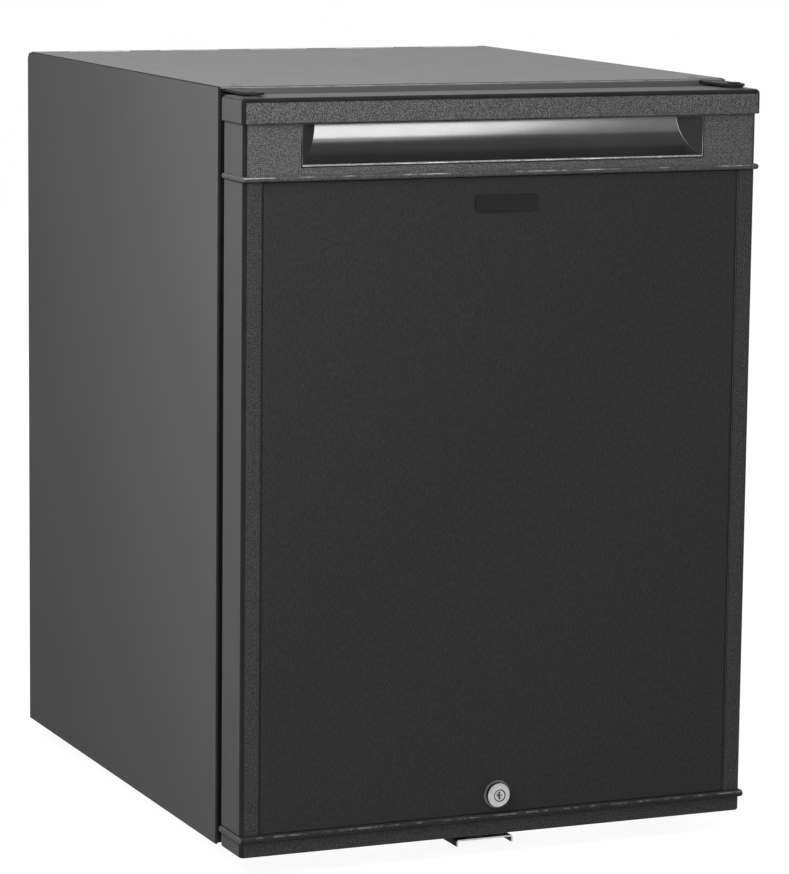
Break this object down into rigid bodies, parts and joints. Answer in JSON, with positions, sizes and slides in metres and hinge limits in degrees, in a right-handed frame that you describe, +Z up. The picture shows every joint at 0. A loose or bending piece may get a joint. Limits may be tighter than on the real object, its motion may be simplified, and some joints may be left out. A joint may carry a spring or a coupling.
{
  "type": "minibar fridge",
  "caption": "Small steel-cased fridge with a right-hinged door, a full-width recessed handle, a cam lock under the panel and an absorption cooling unit in an open rear chimney.",
  "frame": {"origin": "on the floor, under the middle of the whole width and depth", "axes": "+Z up, the door faces -Y, +X towards the hinge side"},
  "size_m": [0.404, 0.4892, 0.56],
  "materials": {
    "painted_steel": "satin black paint on sheet steel",
    "galvanised": "bare galvanised sheet",
    "white_plastic": "smooth white plastic",
    "foam": "rigid insulation foam",
    "black_rubber": "matte black rubber",
    "black_plastic": "moulded black plastic",
    "aluminium": "bare extruded aluminium",
    "unit_paint": "black paint on steel tube",
    "clear_plastic": "clear moulded plastic",
    "grained_plastic": "fine leather grain, dark grey",
    "door_skin": "matte black coated sheet",
    "gloss_black": "polished black plastic",
    "chrome": "bright plating",
    "brass": "bare brass",
    "hinge_steel": "black plated steel"
  },
  "bodies": {
    "cabinet": {"side_panel_left": "painted_steel", "side_panel_right": "painted_steel", "top_panel": "painted_steel", "rear_cross_bar": "painted_steel", "base_panel": "galvanised", "rear_wall": "galvanised", "front_frame": "white_plastic", "cabinet_foam": "foam", "inner_liner": "white_plastic", "foot_rear_left": "black_rubber", "foot_rear_right": "black_rubber", "evaporator_fins": "aluminium", "evaporator_pipe": "unit_paint", "drip_gutter": "white_plastic", "drain_tube": "white_plastic", "drip_cup": "black_plastic", "thermostat_box": "white_plastic", "lamp_cover": "clear_plastic", "hinge_plate_top": "hinge_steel", "spare_hinge_plate_left": "hinge_steel", "top_screw_left": "hinge_steel", "top_screw_right": "hinge_steel", "hinge_pin_top": "hinge_steel", "hinge_pin_bottom": "hinge_steel", "hinge_plate_bottom": "hinge_steel", "strike_bracket": "galvanised", "condenser": "unit_paint", "boiler_jacket": "galvanised", "boiler_tube": "unit_paint", "heater_cartridge": "chrome", "unit_bracket_lower": "galvanised", "unit_bracket_upper": "galvanised", "reservoir": "unit_paint", "liquid_pipe": "unit_paint", "absorber_coil": "unit_paint", "terminal_box": "black_plastic", "power_inlet": "black_plastic"},
    "door": {"handle_profile": "grained_plastic", "handle_scoop": "gloss_black", "door_panel": "door_skin", "badge_plate": "gloss_black", "door_stile_left": "grained_plastic", "door_stile_right": "grained_plastic", "door_bottom_profile": "grained_plastic", "door_foam": "foam", "door_liner": "white_plastic", "door_gasket": "black_rubber", "hinge_bush_top": "white_plastic", "hinge_bush_bottom": "white_plastic", "lock_housing": "chrome", "lock_nut": "brass"},
    "lock": {"lock_cylinder": "chrome", "lock_cam": "galvanised"},
    "rack_lower": {"door_rack_lower": "clear_plastic"},
    "rack_upper": {"door_rack_upper": "clear_plastic"},
    "shelf_lower": {"shelf_lower": "white_plastic"},
    "shelf_upper": {"shelf_upper": "white_plastic"},
    "thermostat_knob": {"thermostat_knob": "white_plastic"},
    "foot_front_left": {"foot_front_left": "black_rubber"},
    "foot_front_right": {"foot_front_right": "black_rubber"}
  },
  "joints": [
    {"name": "door_swing", "type": "hinge", "parent": "cabinet", "child": "door", "pos_m": [0.188, -0.22545, 0.285], "axis": [0, 0, 1], "range_deg": [0, 120]},
    {"name": "lock_turn", "type": "hinge", "parent": "door", "child": "lock", "pos_m": [0, -0.23905, 0.046], "axis": [0, -1, 0], "range_deg": [0, 90]},
    {"name": "rack_lower_lift", "type": "slide", "parent": "door", "child": "rack_lower", "axis": [0, 0, 1], "range_m": [0, 0.015]},
    {"name": "rack_upper_lift", "type": "slide", "parent": "door", "child": "rack_upper", "axis": [0, 0, 1], "range_m": [0, 0.015]},
    {"name": "shelf_lower_slide", "type": "slide", "parent": "cabinet", "child": "shelf_lower", "axis": [0, -1, 0], "range_m": [0, 0.012]},
    {"name": "shelf_upper_slide", "type": "slide", "parent": "cabinet", "child": "shelf_upper", "axis": [0, -1, 0], "range_m": [0, 0.012]},
    {"name": "thermostat_turn", "type": "hinge", "parent": "cabinet", "child": "thermostat_knob", "pos_m": [0.1472, -0.10075, 0.47], "axis": [0, 1, 0], "range_deg": [0, 270]},
    {"name": "foot_front_left_screw", "type": "slide", "parent": "cabinet", "child": "foot_front_left", "axis": [0, 0, -1], "range_m": [0, 0.008]},
    {"name": "foot_front_right_screw", "type": "slide", "parent": "cabinet", "child": "foot_front_right", "axis": [0, 0, -1], "range_m": [0, 0.008]}
  ]
}
